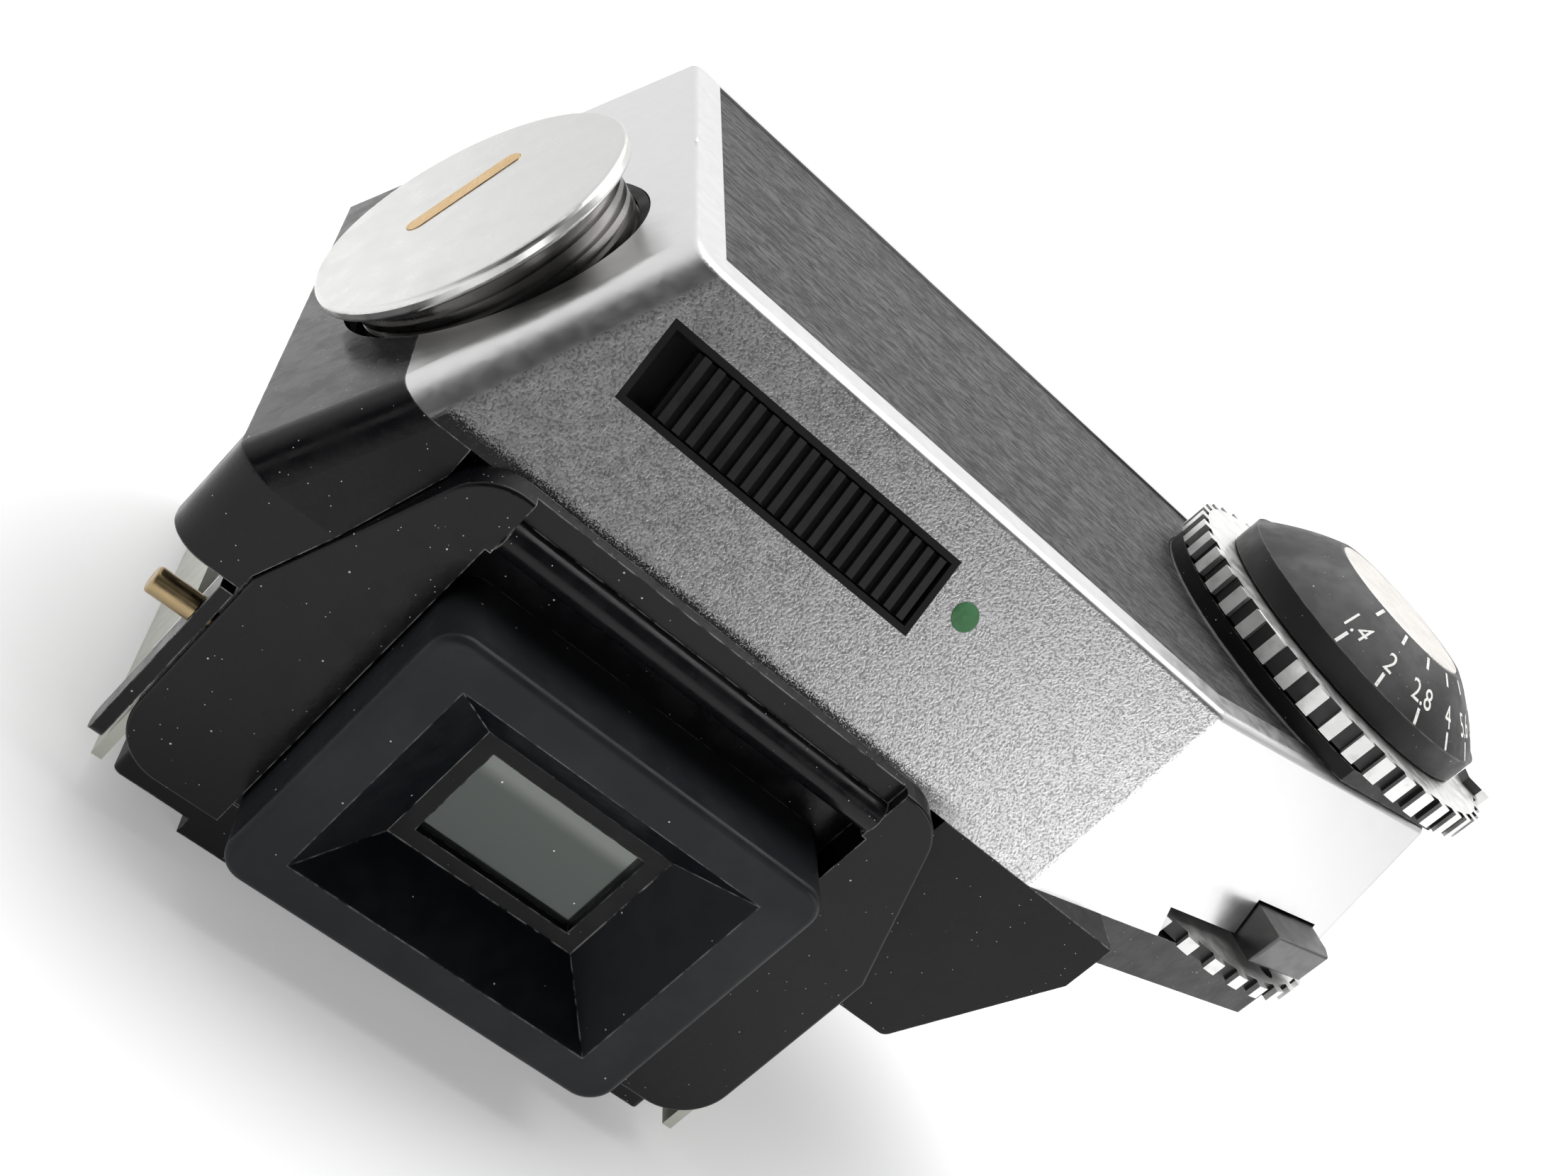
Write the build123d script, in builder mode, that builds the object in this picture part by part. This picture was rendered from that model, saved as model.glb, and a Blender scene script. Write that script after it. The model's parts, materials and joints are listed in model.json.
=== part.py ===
from build123d import *

import math
import os

# Clip-on metering prism finder for a 35 mm reflex camera.
# Frame: X to the photographer's right, Y towards the subject, Z up. The origin is the centre of
# the camera seat, the underside of the mount tongue. All sizes are in millimetres.

os.makedirs("parts", exist_ok=True)

# ---------------------------------------------------------------- driving dimensions
# housing: a hipped box that narrows upwards, its faces given by their place at the parting line
top_z = 52.0
parting_z = 35.6
rear_y_low = -18.99
rear_slope = 0.475
side_x_low = -25.99
side_slope = 0.53
front_y_low = 27.59
front_slope = 0.33
shoulder_x_low = 29.01
shoulder_slope = 0.28
right_x_low = 63.63
right_slope = 0.12
bevel_angle = 25.0
shell_wall = 1.4
roof_wall = 1.7
corner_radius = 3.2
end_radius = 1.2
edge_radius = 0.8
fit_gap = 0.1

# leatherette on the top face
leather_depth = 0.7
leather_thickness = 0.5
rim_left = 2.6
rim_rear = 3.0
rim_front = 1.7
rim_bevel = 2.6

# black castings below the parting line
skirt_z = 31.2
skirt_floor = 1.2
base_wall = 1.6
leg_bottom_z = 19.1
leg_width = 10.6
arch_run = 6.5
cover_knee_z = 26.4
cover_knee_y = -20.9
cover_bottom_z = 19.6
block_half = 20.5
block_bottom_z = 4.4
block_floor = 1.5
block_top_z = 33.0
block_front_y = 20.5
block_wall = 2.0

# rear plate with two raised cheeks and a rounded ridge between them
cheek_y = -21.3
panel_y = -18.5
plate_back_y = -17.3
plate_lip_y = -19.1
cheek_half = 25.3
cheek_top_half = 19.4
cheek_left_knee_z = 20.8
cheek_right_knee_z = 22.8
cheek_top_z = 36.4
cheek_bottom_z = 4.5
cheek_corner = 4.2
channel_half = 16.3
channel_top_z = 32.0
ridge_radius = 1.3
ridge_half = 15.9
ridge_set = 1.0

# eyepiece
eye_y = -26.0
eye_z = 17.0
eye_width = 32.0
eye_height = 24.0
eye_corner = 2.2
eye_edge = 0.6
mouth_width = 24.6
mouth_height = 17.6
throat_width = 15.6
throat_height = 10.4
funnel_depth = 4.2
bezel_thickness = 0.7
glass_width = 13.0
glass_height = 8.0
glass_thickness = 2.0

# mount
mount_half = 23.0
tongue_half = 17.0
mount_step = 1.4
mount_top_z = 4.4
window_width = 30.0
window_depth = 23.0
window_y = 2.0
rail_inner = 24.3
rail_thickness = 0.8
rail_bottom_z = 2.8
rail_top_z = 10.2
rail_front_y = -20.1
latch_inner = 25.45
latch_thickness = 1.0
latch_width = 2.0
latch_bottom_z = 4.5
latch_top_z = 19.0
latch_y = -19.9
stud_z = 16.1
stud_radius = 0.95
shank_radius = 0.6
stud_end = 29.65

# prism, condenser and light cells
prism_half = 16.5
prism_bottom_z = 9.0
prism_top_z = 42.0
prism_back_y = -13.0
cell_pitch = 9.0
cell_z = 26.0
photo_radius = 2.5

# meter switch on the rear face
switch_x = -2.9
switch_z = 45.6
switch_length = 25.5
switch_height = 6.2
switch_depth = 2.2
switch_wall = 0.5
switch_travel = 2.0
switch_ribs = 19
dot_x = 12.5
dot_z = 46.0
dot_radius = 1.05

# battery compartment on the left face
cap_y = 0.3
cap_z = 39.4
cap_tilt = 0.415
cap_yaw = 0.088
cap_radius = 11.65
cap_thickness = 1.1
cap_face = 4.0
neck_radius = 9.7
chamber_radius = 10.9
chamber_wall = 0.8
chamber_depth = 4.6
chamber_set = 1.2
cell_radius = 7.8
cell_height = 5.0

# controls at the right end
dial_x = 53.2
dial_y = 13.2
collar_radius = 16.8
collar_height = 1.4
hub_radius = 6.0
ring_radius = 17.2
ring_height = 2.3
ring_teeth = 42
ring_turn = 3.0
ring_tab_angle = -14.0
dial_radius = 13.3
dial_skirt_height = 2.3
dial_cone_height = 3.8
cone_bulge = 0.35
crown_radius = 7.3
disc_radius = 6.9
axle_radius = 2.0
axle_bottom_z = 43.0
running_gap = 0.05
stack_gap = 0.2
wheel_x = 49.3
wheel_y = 6.4
wheel_radius = 17.8
wheel_height = 1.25
wheel_teeth = 36
wheel_slot = 2.4
dimple_x = 8.9
dimple_y = -12.8
post_radius = 3.0
tooth_depth = 0.7

# release bar on the bevelled face
lock_left_x = 52.9
lock_top_z = 40.9
lock_length = 9.3
lock_height = 3.2
lock_reach = 3.45
lock_gap = 0.25

# meter movement
meter_x = 28.5
meter_y = 14.0
meter_z = 38.5
meter_radius = 7.0
meter_height = 10.0


# ---------------------------------------------------------------- housing geometry
housing_rise = top_z - parting_z
rear_y_top = rear_y_low + rear_slope * housing_rise
side_x_top = side_x_low + side_slope * housing_rise
front_y_top = front_y_low + front_slope * housing_rise
shoulder_x_top = shoulder_x_low + shoulder_slope * housing_rise
right_x_top = right_x_low + right_slope * housing_rise


def rear_y(z):
    """Rear face of the housing at height z."""
    return rear_y_top - rear_slope * (top_z - z)


def side_x(z):
    """Left face of the housing at height z."""
    return side_x_top - side_slope * (top_z - z)


def front_y(z):
    """Front face of the housing at height z."""
    return front_y_top - front_slope * (top_z - z)


def right_x(z):
    """Right end of the housing at height z."""
    return right_x_top - right_slope * (top_z - z)


def shoulder_x(z):
    """Corner between the rear face and the bevelled face at height z."""
    return shoulder_x_top - shoulder_slope * (top_z - z)


def bevel_y(x, z):
    """Bevelled face of the housing over x at height z."""
    return rear_y(z) + (x - shoulder_x(z)) * math.tan(math.radians(bevel_angle))


def outline(z):
    """Corners of the housing at height z, from the left rear corner round to the left front one."""
    return [
        (side_x(z), rear_y(z)),
        (shoulder_x(z), rear_y(z)),
        (right_x(z), bevel_y(right_x(z), z)),
        (right_x(z), front_y(z)),
        (side_x(z), front_y(z)),
    ]


def flat(points, plane, inset=0.0):
    """A closed sketch through the points on a plane, drawn in by inset."""
    with BuildSketch(plane) as face:
        with BuildLine():
            Polyline(*points, close=True)
        make_face()
        if inset:
            offset(amount=-inset, kind=Kind.INTERSECTION)
    return face.sketch


def section(points, z, inset=0.0):
    """A closed sketch through the points at height z."""
    return flat(points, Plane.XY.offset(z), inset)


def disc(radius, plane, x=0.0, y=0.0, bore=0.0):
    """A round sketch on a plane, with an optional bore."""
    with BuildSketch(plane) as face:
        with Locations((x, y)):
            Circle(radius)
            if bore:
                Circle(bore, mode=Mode.SUBTRACT)
    return face.sketch


def box_face(width, height, plane, x=0.0, y=0.0, corner=0.0):
    """A rectangular sketch on a plane, with optional round corners."""
    with BuildSketch(plane) as face:
        with Locations((x, y)):
            if corner:
                RectangleRounded(width, height, corner)
            else:
                Rectangle(width, height)
    return face.sketch


def toothed(radius, teeth, z, x, y, gap_share, turn=0.0):
    """A disc whose rim is cut into square teeth."""
    gap = 2 * math.pi * radius / teeth * gap_share
    with BuildSketch(Plane.XY.offset(z)) as face:
        with Locations((x, y)):
            Circle(radius)
            with PolarLocations(radius, teeth, start_angle=turn):
                Rectangle(2 * tooth_depth, gap, mode=Mode.SUBTRACT)
    return face.sketch


def hip(z_low, z_high, inset=0.0, mode=Mode.ADD):
    """The housing between two heights, with every side drawn in by inset."""
    low = section(outline(z_low), z_low, inset)
    high = section(outline(z_high), z_high, inset)
    loft([low, high], ruled=True, mode=mode)


def finish(builder, label):
    """Name a piece and write it."""
    builder.part.label = label
    export_step(builder.part, f"parts/{label}.step")


bevel_sin = math.sin(math.radians(bevel_angle))
bevel_cos = math.cos(math.radians(bevel_angle))

rear_face = Plane((switch_x, rear_y(switch_z), switch_z), x_dir=(1, 0, 0), z_dir=(0, -1, rear_slope))
dot_face = Plane((dot_x, rear_y(dot_z), dot_z), x_dir=(1, 0, 0), z_dir=(0, -1, rear_slope))
side_face = Plane((side_x(cap_z), cap_y, cap_z), x_dir=(0, -1, 0), z_dir=(-1, -cap_yaw, cap_tilt))
bevel_face = Plane(
    (
        lock_left_x + lock_length / 2 * bevel_cos,
        bevel_y(lock_left_x, lock_top_z) + lock_length / 2 * bevel_sin,
        lock_top_z - lock_height / 2,
    ),
    x_dir=(bevel_cos, bevel_sin, 0),
    z_dir=(bevel_sin, -bevel_cos, 0),
)


def upright(y):
    """A plane that faces the rear at depth y, with X to the right and Z up."""
    return Plane((0, y, 0), x_dir=(1, 0, 0), z_dir=(0, -1, 0))


def level(z):
    return Plane.XY.offset(z)


# heights in the control stack, from the top face up
ring_z = top_z + collar_height + stack_gap
dial_z = ring_z + ring_height + stack_gap
cone_z = dial_z + dial_skirt_height
crown_z = cone_z + dial_cone_height
wheel_z = parting_z + 0.2
floor_z = skirt_z + skirt_floor


def panel_face(z, gap=0.0):
    """The field of the leatherette at height z, drawn in by gap."""
    rear = rear_y_top + rim_rear + gap
    slant = (rim_bevel + gap) / bevel_cos
    corner_x = shoulder_x_top + (rear - rear_y_top - slant) / math.tan(math.radians(bevel_angle))
    end_x = dial_x - 4
    points = [
        (side_x_top + rim_left + gap, rear),
        (corner_x, rear),
        (end_x, bevel_y(end_x, top_z) + slant),
        (end_x, front_y_top - rim_front - gap),
        (side_x_top + rim_left + gap, front_y_top - rim_front - gap),
    ]
    with BuildSketch(level(z)) as face:
        with BuildLine():
            Polyline(*points, close=True)
        make_face()
        with Locations((dial_x, dial_y)):
            Circle(collar_radius + gap, mode=Mode.SUBTRACT)
    return face.sketch


# ---------------------------------------------------------------- silver upper shell
with BuildPart() as upper_shell:
    hip(parting_z, top_z)
    slanted = upper_shell.edges().filter_by(lambda e: abs(e.tangent_at(0.5).Z) > 0.5)
    fillet(slanted.sort_by(lambda e: e.center().X + e.center().Y)[0], radius=corner_radius)
    slanted = upper_shell.edges().filter_by(
        lambda e: abs(e.tangent_at(0.5).Z) > 0.5 and e.center().X + e.center().Y > 0
    )
    fillet(slanted, radius=end_radius)
    fillet(upper_shell.faces().sort_by(Axis.Z)[-1].edges(), radius=edge_radius)
    hip(parting_z, top_z - roof_wall, shell_wall, Mode.SUBTRACT)
    extrude(panel_face(top_z), amount=-leather_depth, mode=Mode.SUBTRACT)
    extrude(box_face(switch_length, switch_height, rear_face), amount=4, both=True, mode=Mode.SUBTRACT)
    extrude(disc(dot_radius, dot_face), amount=4, both=True, mode=Mode.SUBTRACT)
    extrude(
        disc(chamber_radius + fit_gap, side_face), amount=chamber_depth + 1, both=True, mode=Mode.SUBTRACT
    )
    extrude(
        box_face(lock_length + 2 * lock_gap, lock_height + 2 * lock_gap, bevel_face),
        amount=5,
        both=True,
        mode=Mode.SUBTRACT,
    )
    extrude(
        disc(axle_radius + 1.6, level(top_z + 1), dial_x, dial_y),
        amount=-roof_wall - 3,
        mode=Mode.SUBTRACT,
    )
    extrude(
        disc(wheel_radius + 0.6, level(parting_z - 1), wheel_x, wheel_y),
        amount=wheel_slot + 1,
        mode=Mode.SUBTRACT,
    )
finish(upper_shell, "upper_shell")

with BuildPart() as leatherette_panel:
    extrude(panel_face(top_z - leather_depth, fit_gap), amount=leather_thickness)
finish(leatherette_panel, "leatherette_panel")

# ---------------------------------------------------------------- black castings
side_gap = block_half + fit_gap
cheek_points = [
    (-cheek_half, cheek_bottom_z),
    (cheek_half, cheek_bottom_z),
    (cheek_half, cheek_right_knee_z),
    (cheek_top_half, cheek_top_z),
    (-cheek_top_half, cheek_top_z),
    (-cheek_half, cheek_left_knee_z),
]


def cheek_face(y, grow=0.0):
    """The rear plate seen from behind, with rounded corners, grown outwards by grow."""
    with BuildSketch(upright(y)) as face:
        with BuildLine():
            Polyline(*cheek_points, close=True)
        make_face()
        ends = face.vertices().filter_by(lambda v: v.Y < cheek_bottom_z + 1 or v.Y > cheek_top_z - 1)
        fillet(ends, radius=cheek_corner)
        if grow:
            offset(amount=grow, kind=Kind.INTERSECTION)
    return face.sketch


def plate_pocket():
    """Cut room for the rear plate out of a casting."""
    extrude(
        cheek_face(cheek_y - 2, fit_gap), amount=-(plate_back_y - cheek_y + 2 + fit_gap), mode=Mode.SUBTRACT
    )


def chamber_bore():
    """Cut room for the battery chamber, square to the left face."""
    bore = disc(chamber_radius + fit_gap, side_face)
    extrude(bore, amount=-chamber_depth - fit_gap, mode=Mode.SUBTRACT)
    extrude(bore, amount=chamber_depth, mode=Mode.SUBTRACT)


skirt_points = [(side_gap, rear_y(parting_z))] + outline(parting_z)[1:4]
skirt_points += [(side_gap, front_y(parting_z))]
leg_right = side_gap + leg_width
leg_points = [
    (side_gap, leg_bottom_z),
    (leg_right, leg_bottom_z),
    (leg_right + arch_run, skirt_z),
    (leg_right + arch_run, parting_z),
    (side_gap, parting_z),
]
skirt_rear = rear_y(parting_z)
skirt_front = front_y(parting_z)

with BuildPart() as base_frame:
    extrude(section(skirt_points, skirt_z), amount=parting_z - skirt_z)
    extrude(flat(leg_points, upright(skirt_rear)), amount=-(skirt_front - skirt_rear))
    under_arch = base_frame.edges().filter_by(Axis.Y).filter_by(
        lambda e: abs(e.center().X - leg_right) < 1 and abs(e.center().Z - leg_bottom_z) < 1
    )
    fillet(under_arch, radius=0.8)
    end_edges = base_frame.edges().filter_by(Axis.Z).filter_by(
        lambda e: e.center().X > right_x(parting_z) - 0.1
    )
    fillet(end_edges, radius=end_radius)
    extrude(section(skirt_points, floor_z, base_wall), amount=parting_z - floor_z, mode=Mode.SUBTRACT)
    extrude(
        flat(leg_points, upright(skirt_rear + base_wall), base_wall),
        amount=-(skirt_front - skirt_rear - 2 * base_wall),
        mode=Mode.SUBTRACT,
    )
    plate_pocket()
finish(base_frame, "base_frame")

knee_x = side_x(cover_knee_z)
knee_points = [
    (knee_x, cover_knee_y),
    (-side_gap, cover_knee_y),
    (-side_gap, front_y(cover_knee_z)),
    (knee_x, front_y(cover_knee_z)),
]
lip_points = [
    (side_x(parting_z), rear_y(parting_z)),
    (-side_gap, rear_y(parting_z)),
    (-side_gap, front_y(parting_z)),
    (side_x(parting_z), front_y(parting_z)),
]

lobe_points = [
    (knee_x, cover_knee_y),
    (-side_gap, cover_knee_y),
    (-side_gap, plate_back_y + fit_gap),
    (knee_x, plate_back_y + fit_gap),
]
cover_floor_z = cover_knee_z + base_wall
floor_share = base_wall / (parting_z - cover_knee_z)
floor_points = [
    (knee[0] + (lip[0] - knee[0]) * floor_share, knee[1] + (lip[1] - knee[1]) * floor_share)
    for knee, lip in zip(knee_points, lip_points)
]

with BuildPart() as left_cover:
    extrude(section(lobe_points, cover_bottom_z), amount=cover_knee_z - cover_bottom_z)
    loft([section(knee_points, cover_knee_z), section(lip_points, parting_z)], ruled=True)
    corners = left_cover.edges().filter_by(
        lambda e: abs(e.tangent_at(0.5).Z) > 0.5
        and e.center().X < knee_x + 3
        and e.center().Y < cover_knee_y + 2
    )
    fillet(corners, radius=min(corner_radius, 0.8 * (plate_back_y - cover_knee_y)))
    loft(
        [section(floor_points, cover_floor_z, base_wall), section(lip_points, parting_z, base_wall)],
        ruled=True,
        mode=Mode.SUBTRACT,
    )
    plate_pocket()
    chamber_bore()
finish(left_cover, "left_cover")

block_depth = block_front_y - plate_back_y
block_y = (block_front_y + plate_back_y) / 2

with BuildPart() as prism_housing:
    extrude(
        box_face(2 * block_half, block_depth, level(block_bottom_z), 0, block_y),
        amount=block_top_z - block_bottom_z,
    )
    deck_y = (plate_back_y + skirt_front) / 2
    extrude(
        box_face(2 * block_half, skirt_front - plate_back_y, level(block_top_z), 0, deck_y),
        amount=parting_z - block_top_z,
    )
    extrude(
        box_face(
            2 * (block_half - block_wall),
            block_depth - 2 * block_wall,
            level(block_bottom_z + block_floor),
            0,
            block_y,
        ),
        amount=parting_z,
        mode=Mode.SUBTRACT,
    )
    extrude(
        box_face(window_width, window_depth, level(block_bottom_z), 0, window_y),
        amount=block_floor,
        mode=Mode.SUBTRACT,
    )
    extrude(
        box_face(throat_width + 4, throat_height + 4, upright(plate_back_y), 0, eye_z),
        amount=-block_wall,
        mode=Mode.SUBTRACT,
    )
    chamber_bore()
finish(prism_housing, "prism_housing")

with BuildPart() as rear_plate:
    extrude(cheek_face(cheek_y), amount=cheek_y - plate_back_y)
    fillet(rear_plate.faces().sort_by(Axis.Y)[0].edges(), radius=0.3)
    channel_low = cheek_bottom_z - 5
    extrude(
        box_face(
            2 * channel_half,
            channel_top_z - channel_low,
            upright(cheek_y),
            0,
            (channel_top_z + channel_low) / 2,
        ),
        amount=cheek_y - panel_y,
        mode=Mode.SUBTRACT,
    )
    ridge_mid_z = (channel_top_z + cheek_top_z) / 2
    extrude(
        box_face(2 * ridge_half, cheek_top_z - channel_top_z, upright(cheek_y), 0, ridge_mid_z),
        amount=-ridge_set,
        mode=Mode.SUBTRACT,
    )
    extrude(
        disc(
            ridge_radius,
            Plane(
                (-ridge_half, cheek_y + ridge_set, channel_top_z + ridge_radius),
                x_dir=(0, 1, 0),
                z_dir=(1, 0, 0),
            ),
        ),
        amount=2 * ridge_half,
    )
    extrude(
        box_face(4 * cheek_half, 5, upright(plate_lip_y), 0, parting_z - fit_gap + 2.5),
        amount=-5,
        mode=Mode.SUBTRACT,
    )
    extrude(
        box_face(throat_width + 2, throat_height + 2, upright(panel_y), 0, eye_z),
        amount=panel_y - plate_back_y,
        mode=Mode.SUBTRACT,
    )
    extrude(
        disc(shank_radius, Plane.YZ.offset(-cheek_half), latch_y, stud_z),
        amount=3,
        mode=Mode.SUBTRACT,
    )
    for side in (-1, 1):
        extrude(
            box_face(
                4,
                rail_top_z - cheek_bottom_z + fit_gap + 1,
                upright(rail_front_y - fit_gap),
                side * (rail_inner - fit_gap + 2),
                (rail_top_z + cheek_bottom_z + fit_gap - 1) / 2,
            ),
            amount=-4,
            mode=Mode.SUBTRACT,
        )
finish(rear_plate, "rear_plate")

# ---------------------------------------------------------------- eyepiece
funnel_y = eye_y + funnel_depth
lens_y = funnel_y + bezel_thickness

with BuildPart() as eyepiece_frame:
    extrude(
        box_face(eye_width, eye_height, upright(eye_y), 0, eye_z, eye_corner), amount=-(panel_y - eye_y)
    )
    fillet(eyepiece_frame.faces().sort_by(Axis.Y)[0].edges(), radius=eye_edge)
    loft(
        [
            box_face(mouth_width, mouth_height, upright(eye_y), 0, eye_z),
            box_face(throat_width, throat_height, upright(funnel_y), 0, eye_z),
        ],
        ruled=True,
        mode=Mode.SUBTRACT,
    )
    extrude(
        box_face(throat_width + 0.6, throat_height + 0.6, upright(funnel_y), 0, eye_z),
        amount=-(panel_y - funnel_y),
        mode=Mode.SUBTRACT,
    )
finish(eyepiece_frame, "eyepiece_frame")

with BuildPart() as eyepiece_bezel:
    extrude(
        box_face(throat_width + 0.4, throat_height + 0.4, upright(funnel_y), 0, eye_z),
        amount=-bezel_thickness,
    )
    extrude(
        box_face(glass_width, glass_height, upright(funnel_y), 0, eye_z),
        amount=-bezel_thickness,
        mode=Mode.SUBTRACT,
    )
finish(eyepiece_bezel, "eyepiece_bezel")

with BuildPart() as eyepiece_lens:
    extrude(
        box_face(throat_width + 0.2, throat_height + 0.2, upright(lens_y), 0, eye_z, 0.6),
        amount=-glass_thickness,
    )
finish(eyepiece_lens, "eyepiece_lens")

# ---------------------------------------------------------------- prism and meter cells
seat_z = block_bottom_z + block_floor
inner_half = block_half - block_wall
inner_rear = plate_back_y + block_wall
inner_front = block_front_y - block_wall

with BuildPart() as prism_seat:
    extrude(
        box_face(
            2 * inner_half - 0.2,
            inner_front - inner_rear - 0.2,
            level(seat_z),
            0,
            (inner_front + inner_rear) / 2,
        ),
        amount=prism_bottom_z - seat_z,
    )
    extrude(
        box_face(window_width + 1, window_depth + 2, level(seat_z), 0, window_y),
        amount=prism_bottom_z - seat_z,
        mode=Mode.SUBTRACT,
    )
finish(prism_seat, "prism_seat")

with BuildPart() as condenser_lens:
    extrude(box_face(window_width + 0.8, window_depth + 1.8, level(seat_z), 0, window_y, 0.8), amount=1.5)
    with BuildSketch(level(seat_z + 1.5)) as dome:
        with Locations((0, window_y)):
            Rectangle(window_width - 1, window_depth - 1)
    extrude(amount=0.6, taper=50)
finish(condenser_lens, "condenser_lens")

with BuildPart() as roof_prism:
    profile = [
        (prism_back_y, prism_bottom_z),
        (inner_front - 3, prism_bottom_z),
        (inner_front - 0.6, 20),
        (8, prism_top_z),
        (prism_back_y, 30),
    ]
    extrude(flat(profile, Plane.YZ.offset(-prism_half)), amount=2 * prism_half)
    front_view = [
        (-prism_half - 1, prism_bottom_z - 1),
        (prism_half + 1, prism_bottom_z - 1),
        (prism_half + 1, prism_top_z - 9),
        (prism_half - 4, prism_top_z + 0.5),
        (4 - prism_half, prism_top_z + 0.5),
        (-prism_half - 1, prism_top_z - 9),
    ]
    extrude(flat(front_view, upright(prism_back_y - 1)), amount=-40, mode=Mode.INTERSECT)
finish(roof_prism, "roof_prism")

roof_rise = (prism_top_z - 30) / (8 - prism_back_y)
roof_plane = Plane((0, prism_back_y + 8, 30 + 8 * roof_rise), x_dir=(1, 0, 0), z_dir=(0, -roof_rise, 1))

with BuildPart() as prism_clamp:
    extrude(box_face(24, 9, roof_plane, corner=1.5), amount=0.8)
    extrude(box_face(14, 3, roof_plane, corner=1), amount=1.4)
finish(prism_clamp, "prism_clamp")

for name, cell_x in (("photo_cell_left", -cell_pitch), ("photo_cell_right", cell_pitch)):
    with BuildPart() as photo_cell:
        extrude(disc(photo_radius, upright(inner_rear + 0.7), cell_x, cell_z), amount=-1.4)
    finish(photo_cell, name)

with BuildPart() as cell_bracket:
    extrude(box_face(2 * cell_pitch + 8, 7, upright(inner_rear + 0.1), 0, cell_z, 1), amount=-0.6)
finish(cell_bracket, "cell_bracket")

# ---------------------------------------------------------------- mount and latch
with BuildPart() as mount_plate:
    plate_depth = block_front_y - panel_y
    plate_y = (block_front_y + panel_y) / 2
    wide_part = box_face(2 * mount_half, plate_depth, level(mount_step), 0, plate_y)
    extrude(wide_part, amount=mount_top_z - mount_step)
    extrude(box_face(2 * tongue_half, plate_depth, level(0), 0, plate_y), amount=mount_step)
    extrude(
        box_face(window_width, window_depth, level(0), 0, window_y), amount=mount_top_z, mode=Mode.SUBTRACT
    )
    for screw_x in (-19.5, 19.5):
        for screw_y in (-11.0, 15.0):
            extrude(
                disc(1.5, level(mount_step), screw_x, screw_y), amount=1.1, mode=Mode.SUBTRACT
            )
            extrude(disc(0.8, level(mount_step), screw_x, screw_y), amount=mount_top_z, mode=Mode.SUBTRACT)
    rear_edge = mount_plate.edges().filter_by(Axis.Z).filter_by(lambda e: abs(e.center().X) > tongue_half)
    fillet(rear_edge, radius=0.6)
finish(mount_plate, "mount_plate")

screw_number = 0
for screw_x in (-19.5, 19.5):
    for screw_y in (-11.0, 15.0):
        screw_number += 1
        with BuildPart() as mount_screw:
            extrude(disc(1.4, level(mount_step + 0.1), screw_x, screw_y), amount=1.0)
            shaft = disc(0.75, level(mount_step + 1.1), screw_x, screw_y)
            extrude(shaft, amount=mount_top_z - mount_step - 1.15)
            extrude(
                box_face(2.2, 0.4, level(mount_step + 0.1), screw_x, screw_y), amount=0.4, mode=Mode.SUBTRACT
            )
        finish(mount_screw, f"mount_screw_{screw_number}")

for name, side in (("left_rail", -1), ("right_rail", 1)):
    with BuildPart() as rail:
        profile = [
            (side * side_gap, mount_top_z + 0.1),
            (side * rail_inner, mount_top_z + 0.1),
            (side * rail_inner, rail_bottom_z),
            (side * (rail_inner + rail_thickness), rail_bottom_z),
            (side * (rail_inner + rail_thickness), rail_top_z),
            (side * rail_inner, rail_top_z),
            (side * rail_inner, mount_top_z + 0.1 + rail_thickness),
            (side * side_gap, mount_top_z + 0.1 + rail_thickness),
        ]
        extrude(flat(profile, upright(plate_back_y + 0.1)), amount=-(block_front_y - plate_back_y - 2))
        flange_x = side * (rail_inner + rail_thickness / 2)
        extrude(
            box_face(
                rail_thickness,
                rail_top_z - rail_bottom_z,
                upright(rail_front_y),
                flange_x,
                (rail_top_z + rail_bottom_z) / 2,
            ),
            amount=rail_front_y - plate_back_y - 0.5,
        )
    finish(rail, name)

latch_mid = -(latch_inner + latch_thickness / 2)

with BuildPart() as latch_lever:
    extrude(
        box_face(
            latch_thickness, latch_width, level(latch_bottom_z), latch_mid, latch_y
        ),
        amount=latch_top_z - latch_bottom_z,
    )
    low_edges = latch_lever.faces().sort_by(Axis.Z)[0].edges().filter_by(Axis.X)
    fillet(low_edges, radius=latch_width * 0.45)
    extrude(
        disc(shank_radius + running_gap, Plane.YZ.offset(-stud_end), latch_y, stud_z),
        amount=stud_end,
        mode=Mode.SUBTRACT,
    )
finish(latch_lever, "latch_lever")

with BuildPart() as latch_stud:
    head_length = stud_end - latch_inner - latch_thickness - running_gap
    extrude(disc(stud_radius, Plane.YZ.offset(-stud_end), latch_y, stud_z), amount=head_length)
    extrude(
        disc(shank_radius, Plane.YZ.offset(-stud_end), latch_y, stud_z), amount=stud_end - cheek_half + 2.9
    )
    fillet(latch_stud.faces().sort_by(Axis.X)[0].edges(), radius=0.25)
finish(latch_stud, "latch_stud")

leaf_y = latch_y + latch_width / 2 + 0.85

with BuildPart() as latch_spring:
    extrude(
        box_face(latch_thickness - 0.2, 0.3, level(rail_top_z + 0.5), latch_mid, leaf_y),
        amount=cover_bottom_z - 0.1 - rail_top_z - 0.5,
    )
    extrude(
        box_face(latch_thickness + 1.6, 0.9, level(cover_bottom_z - 0.4), latch_mid - 0.9, leaf_y), amount=0.3
    )
finish(latch_spring, "latch_spring")

# ---------------------------------------------------------------- meter switch
slot_length = switch_length - 2 * switch_wall
slot_height = switch_height - 2 * switch_wall
slider_length = slot_length - switch_travel - 0.3
slider_x = (slot_length - slider_length) / 2 - 0.15
pocket_floor = -switch_depth + switch_wall


def rear_at(depth):
    """The plane of the switch, moved out from the rear face by depth."""
    return rear_face.offset(depth)


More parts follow.
